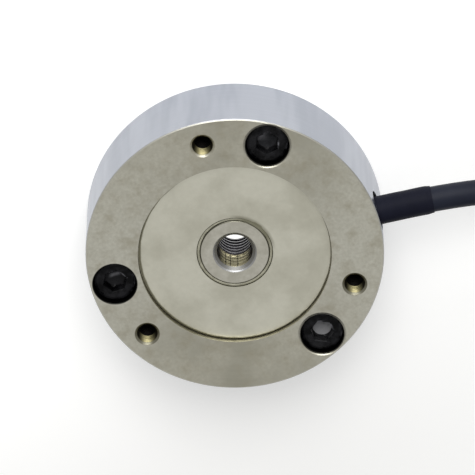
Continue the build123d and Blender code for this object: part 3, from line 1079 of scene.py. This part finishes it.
front_side = band(tree, height, *front_zone)
tap_edge = times(tree, front_side, band(tree, nearest(tree, spot, tap_centres), *tap_edge_zone))
clean_tap = band(tree, parts.outputs[1], *clean_tap_zone)
tap_mouth_shade_share = sum_up(tree, "MULTIPLY_ADD", clean_tap, -clean_tap_share, tap_edge_share)
# Painted shade round the mouths of the taps, least at the upper one.
tone = over(tree, tone, tap_edge, tap_mouth_shade_share, tap_mouth_shade_tone)
on_edge = band(tree, radius, *chamfer_zone)
on_rim = times(tree, on_edge, band(tree, height, *rim_zone))
tone = blend(tree, on_edge, tone, chamfer_tone)
# Painted reflection: the rim's cool colour stands in for the cool light that it mirrors.
tone = blend(tree, on_rim, tone, blend(tree, effect(tree, rim_streaks, spot), rim_dark_cool_reflection, rim_tone_cool_reflection))
print("rim from radius", chamfer_zone[0])

# %% [markdown]
# The hub's edge has a thin dark line of painted shade where it meets the groove, its mouth is clean
# cut steel, and the counterbores are painted black, as shade. The left one's edge is darkened too. The
# photograph shows wider chamfers there than the model has. Its mesh stays as it is, so a bump lets the
# face fall away towards the other two.

# %% Hub edge, counterbores and relief
hub_edge_radius = 0.00832
hub_edge_shade_share = 0.82
groove_shade_tone = (0.06, 0.056, 0.03)
hub_mouth_tone = (0.42, 0.42, 0.42)
hub_mouth_zone = (0.00535, 0.00528)
counterbore_shade = (0.018, 0.018, 0.016)
counterbore_zone = (0.0058, 0.0056)
counterbore_radius = 0.0053
counterbore_edge = 0.00052
left_edge_zone = (0.0056, counterbore_radius + 0.0001)
body_roughness = (0.34, 0.46)
rim_polish = -0.06
mark_depth = 0.0000035

# Painted shade: a thin dark line round the hub's edge.
hub_edge_shade = effect(tree, joint_dirt_and_shade, spot, radius=hub_edge_radius, width=0.00026)
tone = over(tree, tone, hub_edge_shade, hub_edge_shade_share, groove_shade_tone)
tone = blend(tree, band(tree, radius, *hub_mouth_zone), tone, hub_mouth_tone)
# Painted shade: the counterbores are painted nearly black.
near_screw = band(tree, nearest(tree, spot, screw_centres), *counterbore_zone)
tone = over(tree, tone, in_bore, near_screw, counterbore_shade)
# The left counterbore's edge is darkened with the same colour.
left_edge_darkening = band(tree, nearest(tree, spot, screw_centres[1:2]), *left_edge_zone)
tone = over(tree, tone, left_edge_darkening, front_side, counterbore_shade)
to_chamfered = nearest(tree, spot, [screw_centres[0], screw_centres[2]])
rounded = sum_up(tree, "MINIMUM", minus(tree, to_chamfered, counterbore_radius + counterbore_edge), 0.0)
relief = sum_up(tree, "MULTIPLY_ADD", marks, mark_depth, times(tree, rounded, front_side))
rough = sum_up(tree, "MULTIPLY_ADD", on_rim, rim_polish, between(tree, marks, *body_roughness))
finish(tree, tone, rough, relief, 1.0, Metallic=1.0)
dress(body_steel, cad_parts["sensor_body"])

# %% [markdown]
# ## Cover steel
# The covers are brighter than the ring, with fainter marks from the lathe. The joint round them is
# painted dark, as dirt and as shade, more on the left. Where the sealant is smeared it leaves a haze on
# the cover beside it, on the front only. The bead uses the same mask, so that the smear runs on from
# piece to piece.

# %% Cover finish
cover_light = (0.78, 0.765, 0.652)
cover_dark = (0.59, 0.574, 0.472)
dirt_and_shade_tone = (0.17, 0.16, 0.10)
cover_edge_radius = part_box("front_cover")[1][0]
cover_fine_share = 0.25
cover_marks_share = 0.3
haze_share = 0.55
haze_zone = (0.0102, 0.0093)
haze_front_zone = (0.012, 0.014)
joint_dirt_and_shade_share = 0.9
cover_roughness = (0.38, 0.5)
cover_mark_depth = 0.000003
smear_zone = (0.66, 0.9)
smear_x = math.cos(bead_smear_angle) / groove_outer_radius
smear_y = math.sin(bead_smear_angle) / groove_outer_radius


def smear_mask(tree, parts):
    """1 on the side where the sealant is smeared, from the way towards it as a share of the groove's
    outer radius."""
    reach = sum_up(tree, "MULTIPLY_ADD", parts.outputs[1], smear_y, times(tree, parts.outputs[0], smear_x))
    return band(tree, reach, *smear_zone)


cover_steel, tree = new_material("cover_steel_turned")
spot = coordinates(tree)
radius, parts = flat_radius(tree, spot)
marks = effect(tree, turning_marks, spot, rings=1700.0, breaks=1.2)
wide = effect(tree, blotches, spot, scale=70.0, low=0.3, high=0.6)
fine = effect(tree, blotches, spot, scale=700.0, low=0.25, high=0.75)
dirt = effect(tree, joint_dirt_and_shade, spot, radius=cover_edge_radius, width=0.00036, lean=-20.0)
haze = times(tree, smear_mask(tree, parts), band(tree, radius, *haze_zone))
haze = times(tree, haze, band(tree, parts.outputs[2], *haze_front_zone))
tone = blend(tree, wide, cover_dark, cover_light)
tone = over(tree, tone, fine, cover_fine_share, cover_dark)
tone = over(tree, tone, marks, cover_marks_share, cover_light)
tone = over(tree, tone, haze, haze_share, dirt_and_shade_tone)
# Dirt and painted shade: a dark line in the joint round the cover, wider on the left.
tone = over(tree, tone, dirt, joint_dirt_and_shade_share, dirt_and_shade_tone)
finish(tree, tone, between(tree, marks, *cover_roughness), marks, cover_mark_depth, Metallic=1.0)
dress(cover_steel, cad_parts["front_cover"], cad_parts["rear_cover"])

# %% [markdown]
# ## Thread steel
# Three zones run down the hub: a plain mouth, khaki grease with three upright dark lines that are
# painted reflections, and threads in painted shade with painted highlights on their crests. The khaki
# shows only on the wall that faces the camera, so it is painted on that wall as light, and the dark tone
# of the rest is painted shade and a guess. The tones are fixed to the part by the stored lengths. The
# taps have only the khaki and the dark zone.

# %% Thread finish
crest_highlight_tone = (0.40, 0.40, 0.415)
mouth_tone = (0.25, 0.247, 0.235)
mouth_fade = 0.00012
reflection_line_tone = (0.12, 0.105, 0.06)
reflection_line_places = (-0.0022, -0.00105, 0.00072)
reflection_line_zone = (0.00014, 0.00005)
khaki_lift = 1.35
thread_roughness = (0.42, 0.56)
thread_grain_depth = 0.000002
hub_mouth_depth = hub_radii[1] - hub_radii[2]


def thread_finish(
    name, khaki, deep_shade, side_shade, lit_side, lit_width, mouth_ends, deep_zone, crest_zone, reflection_lines, liner
):
    """Thread steel in zones by height: a plain mouth past either of mouth_ends, khaki threads, and ones
    below deep_zone in painted shade, with painted highlights on the crests within crest_zone of the load
    axis. The khaki is painted light: it gives way to painted shade over lit_side, which goes up in the
    picture, and over lit_width, which goes sideways from the bore's middle. Upright dark lines at the
    given places across the bore are painted reflections."""
    material, tree = new_material(name)
    spot = coordinates(tree)
    radius, parts = flat_radius(tree, spot)
    height, across = parts.outputs[2], stored(tree, "across")
    front_end, rear_end = mouth_ends
    oil = effect(tree, blotches, spot, scale=600.0, low=0.3, high=0.7)
    grain = effect(tree, fine_grain, spot, scale=3500.0)
    tone = blend(tree, oil, khaki, tuple(khaki_lift * value for value in khaki))
    # Painted light and shade: the khaki stays on the lit wall, and the other walls take the dark side tone.
    tone = blend(tree, band(tree, stored(tree, "upward"), *lit_side), tone, side_shade)
    tone = blend(tree, band(tree, sum_up(tree, "ABSOLUTE", across), *lit_width), tone, side_shade)
    # Painted reflections: upright dark lines at given places across the bore.
    for place_across in reflection_lines:
        away = apart(tree, across, place_across)
        tone = blend(tree, band(tree, away, *reflection_line_zone), tone, reflection_line_tone)
    tone = blend(tree, band(tree, height, front_end, front_end + mouth_fade), tone, mouth_tone)
    # Painted shade deep in the bore, and painted highlights on the crests.
    inside = blend(tree, band(tree, radius, *crest_zone), deep_shade, crest_highlight_tone)
    tone = blend(tree, band(tree, height, *deep_zone), tone, inside)
    tone = blend(tree, band(tree, height, rear_end, rear_end - mouth_fade), tone, mouth_tone)
    finish(tree, tone, between(tree, grain, *thread_roughness), grain, thread_grain_depth, Metallic=1.0)
    dress(material, liner)


thread_finish(
    "hub_thread_grease_and_painted_light",
    khaki=(0.54, 0.50, 0.325),
    deep_shade=(0.036, 0.033, 0.040),
    side_shade=(0.05, 0.042, 0.035),
    lit_side=(-0.0030, -0.0012),
    lit_width=(0.0026, 0.0042),
    mouth_ends=(hub_front - hub_mouth_depth, hub_rear + hub_mouth_depth),
    deep_zone=(0.0122, 0.0112),
    crest_zone=(0.00434, 0.00426),
    reflection_lines=reflection_line_places,
    liner=hub_thread,
)
thread_finish(
    "tap_thread_grease_and_painted_light",
    khaki=(0.32, 0.288, 0.155),
    deep_shade=(0.010, 0.009, 0.008),
    side_shade=(0.016, 0.014, 0.009),
    lit_side=(-0.0013, -0.0006),
    lit_width=(0.0003, 0.0023),
    mouth_ends=(face_height, 0.0),
    deep_zone=(0.0179, 0.0172),
    crest_zone=(0.001, 0.0005),
    reflection_lines=(),
    liner=tap_threads,
)

# %% [markdown]
# ## Black oxide
# The screws are blackened steel. Their sockets' edges are lighter on one side, as wear and painted
# highlight, and their floors carry painted reflections: along a line in the left screw, in a corner of
# the upper one and all over the lower right one. These marks have no thickness, so masks in the material
# draw them, from each screw's own middle.

# %% Screw finish
oxide_dark = (0.0007, 0.0007, 0.0010)
oxide_light = (0.0125, 0.0125, 0.0140)
worn_edge_and_highlight = (0.15, 0.15, 0.165)
floor_reflection_light = (0.022, 0.023, 0.026)
floor_reflection_middle = (0.19, 0.19, 0.205)
floor_reflection_strong = (0.26, 0.26, 0.27)
floor_height_zone = (seat_height + 0.0033, seat_height + 0.0030)
floor_radius_zone = (0.0024, 0.00225)
lower_right_zone = (0.02, 0.03)
left_zone = (-0.01, -0.02)
line_slope = 0.3
line_level = 0.0004
line_zone = (0.0008, 0.0001)
line_reach_zone = (0.0018, 0.0006)
corner_across_zone = (0.0008, -0.0014)
corner_upward_zone = (-0.0010, 0.0008)
lit_edge_side_zone = (0.0006, 0.0024)
oxide_roughness = (0.2, 0.34)
oxide_grain_depth = 0.000004

black_oxide, tree = new_material("screw_black_oxide")
spot = coordinates(tree)
parts = add_node(tree, "SeparateXYZ", {0: spot}).outputs
across, upward = stored(tree, "across"), stored(tree, "upward")
own = add_node(tree, "CombineXYZ", {0: across, 1: upward})
own_radius = add_node(tree, "VectorMath", {0: own.outputs[0]}, operation="LENGTH").outputs["Value"]
off_line = apart(tree, minus(tree, upward, times(tree, across, line_slope)), line_level)
line_reach = band(tree, sum_up(tree, "ABSOLUTE", across), *line_reach_zone)
floor_reflection_line = times(tree, band(tree, off_line, *line_zone), line_reach)
corner = times(tree, band(tree, across, *corner_across_zone), band(tree, upward, *corner_upward_zone))
lower_right = band(tree, minus(tree, parts[0], parts[1]), *lower_right_zone)
# Painted reflections on the sockets' floors: a line in the left screw, a corner of the upper one, all of the
# lower right one.
floor_reflection = blend(tree, corner, floor_reflection_light, floor_reflection_middle)
floor_reflection = blend(tree, lower_right, floor_reflection, floor_reflection_strong)
left_floor = blend(tree, floor_reflection_line, oxide_light, floor_reflection_middle)
floor_reflection = blend(tree, band(tree, parts[0], *left_zone), floor_reflection, left_floor)
on_floor = times(
    tree, band(tree, parts[2], *floor_height_zone), band(tree, own_radius, *floor_radius_zone)
)
tone = blend(tree, effect(tree, blotches, spot, scale=330.0, low=0.38, high=0.66), oxide_dark, oxide_light)
floor_reflection_breaks = effect(tree, blotches, spot, scale=520.0, low=0.2, high=0.5)
tone = over(tree, tone, on_floor, floor_reflection_breaks, floor_reflection)
broken = effect(tree, blotches, spot, scale=460.0, low=0.46, high=0.62)
lit_edge_side = band(tree, sum_up(tree, "ADD", across, upward), *lit_edge_side_zone)
# Wear and painted highlight: the sockets' edges are lighter on one side.
tone = over(tree, tone, stored(tree, "edge_wear"), times(tree, broken, lit_edge_side), worn_edge_and_highlight)
grain = effect(tree, fine_grain, spot, scale=3800.0)
rough = between(tree, grain, *oxide_roughness)
finish(tree, tone, rough, grain, oxide_grain_depth, Specular_IOR_Level=0.11)
dress(black_oxide, screws)

# %% [markdown]
# ## Sealant
# The sealant has set to an olive rubber. The crevice at each side of the bead is painted dark, as
# shade, and where it was smeared the thin film is darker.

# %% Sealant finish
bead_dark = (0.25, 0.242, 0.178)
bead_light = (0.36, 0.347, 0.265)
bead_smear_tone = (0.115, 0.11, 0.065)
bead_smear_share = 0.75
crevice_shade_tone = (0.03, 0.028, 0.016)
crevice_shade_share = 0.78
bead_crevices = ((0.00842, 0.00012), (0.0091, 0.00014))
bead_roughness = (0.28, 0.45)
bead_grain_depth = 0.00001

bead_olive, tree = new_material("bead_olive_sealant")
spot = coordinates(tree)
radius, parts = flat_radius(tree, spot)
grain = effect(tree, fine_grain, spot, scale=2200.0)
tone = blend(tree, effect(tree, blotches, spot, scale=500.0, low=0.3, high=0.7), bead_dark, bead_light)
# Painted shade: a dark line in the crevice at each side of the bead.
for crevice_radius, crevice_width in bead_crevices:
    crevice = effect(tree, joint_dirt_and_shade, spot, radius=crevice_radius, width=crevice_width)
    tone = over(tree, tone, crevice, crevice_shade_share, crevice_shade_tone)
tone = over(tree, tone, smear_mask(tree, parts), bead_smear_share, bead_smear_tone)
finish(tree, tone, between(tree, grain, *bead_roughness), grain, bead_grain_depth)
dress(bead_olive, *beads)

# %% [markdown]
# ## Rubber, plastics and inner pieces
# The remaining finishes share one recipe: a base colour that drifts a little, a roughness that
# follows a fine grain, and a shallow bump. Only the numbers differ, so one function makes them all.
# Of the inner pieces only the potting round the sleeve can show in the picture, but all are finished.

# %% Grained finishes
def grained(name, targets, tones, roughness, grain_scale, depth, drift_scale=90.0, **constants):
    """Dresses the targets in a material that drifts between two tones, with a fine grain in its
    roughness and bump."""
    material, tree = new_material(name)
    spot = coordinates(tree)
    drift = effect(tree, blotches, spot, scale=drift_scale, low=0.3, high=0.7)
    grain = effect(tree, fine_grain, spot, scale=grain_scale)
    finish(tree, blend(tree, drift, *tones), between(tree, grain, *roughness), grain, depth, **constants)
    dress(material, *targets)


sleeve_tones = ((0.0046, 0.0054, 0.0122), (0.0078, 0.0086, 0.0178))
jacket_tones = ((0.0072, 0.0094, 0.0192), (0.0108, 0.0134, 0.0256))
tin_tones = ((0.72, 0.71, 0.68), (0.62, 0.58, 0.52))
rubber_depth = 0.000006
tin_depth = 0.000003
grained(
    "sleeve_shrink_tube", [sleeve], sleeve_tones, (0.5, 0.62), 2600.0, rubber_depth, Specular_IOR_Level=0.1
)
grained(
    "cable_jacket_black", [cable], jacket_tones, (0.46, 0.58), 2000.0, rubber_depth, Specular_IOR_Level=0.2
)
grained("tinned_copper_strand", [tips], tin_tones, (0.22, 0.38), 3000.0, tin_depth, Metallic=1.0)

# %% Insulation of the leads and cores
insulation_tones = {
    "red": ((0.48, 0.022, 0.018), (0.40, 0.018, 0.015)),
    "black": ((0.018, 0.018, 0.019), (0.026, 0.026, 0.027)),
    "green": ((0.022, 0.22, 0.055), (0.018, 0.18, 0.045)),
    "white": ((0.78, 0.77, 0.73), (0.70, 0.69, 0.65)),
    "shield": ((0.55, 0.55, 0.52), (0.47, 0.47, 0.44)),
}
for colour, tones in insulation_tones.items():
    targets = [leads[colour]]
    if colour != "shield":
        targets.append(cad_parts["core_" + colour])
    grained("insulation_" + colour + "_pvc", targets, tones, (0.3, 0.42), grain_scale=2400.0, depth=0.000004)

# %% Inner pieces
gauge_nodes = ["strain_gauge_%d" % number for number in (1, 2, 3, 4)]
inner_finishes = {
    "potting_resin_black": (["inlet_potting"], ((0.014, 0.014, 0.015), (0.024, 0.023, 0.022)), (0.3, 0.5)),
    "grommet_rubber": (["core_grommet"], ((0.022, 0.022, 0.022), (0.032, 0.031, 0.030)), (0.55, 0.7)),
    "gauge_foil_amber": (gauge_nodes, ((0.42, 0.20, 0.05), (0.5, 0.27, 0.08)), (0.3, 0.45)),
    "board_glass_green": (["bridge_board"], ((0.018, 0.11, 0.04), (0.024, 0.15, 0.055)), (0.35, 0.5)),
    "spacer_nylon_white": (["board_spacers"], ((0.68, 0.67, 0.62), (0.75, 0.74, 0.70)), (0.4, 0.55)),
    "resistor_ceramic": (["trim_resistors"], ((0.035, 0.034, 0.034), (0.05, 0.048, 0.046)), (0.35, 0.5)),
    "ribbon_tinned": (["gauge_ribbons"], ((0.62, 0.40, 0.26), (0.66, 0.46, 0.32)), (0.25, 0.4)),
}
for name, (node_names, tones, roughness) in inner_finishes.items():
    targets = [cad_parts[node_name] for node_name in node_names]
    grained(name, targets, tones, roughness, grain_scale=2600.0, depth=0.000005, drift_scale=240.0)

# %% [markdown]
# At the end the view layer is brought up to date.

# %% Update the view layer
bpy.context.view_layer.update()
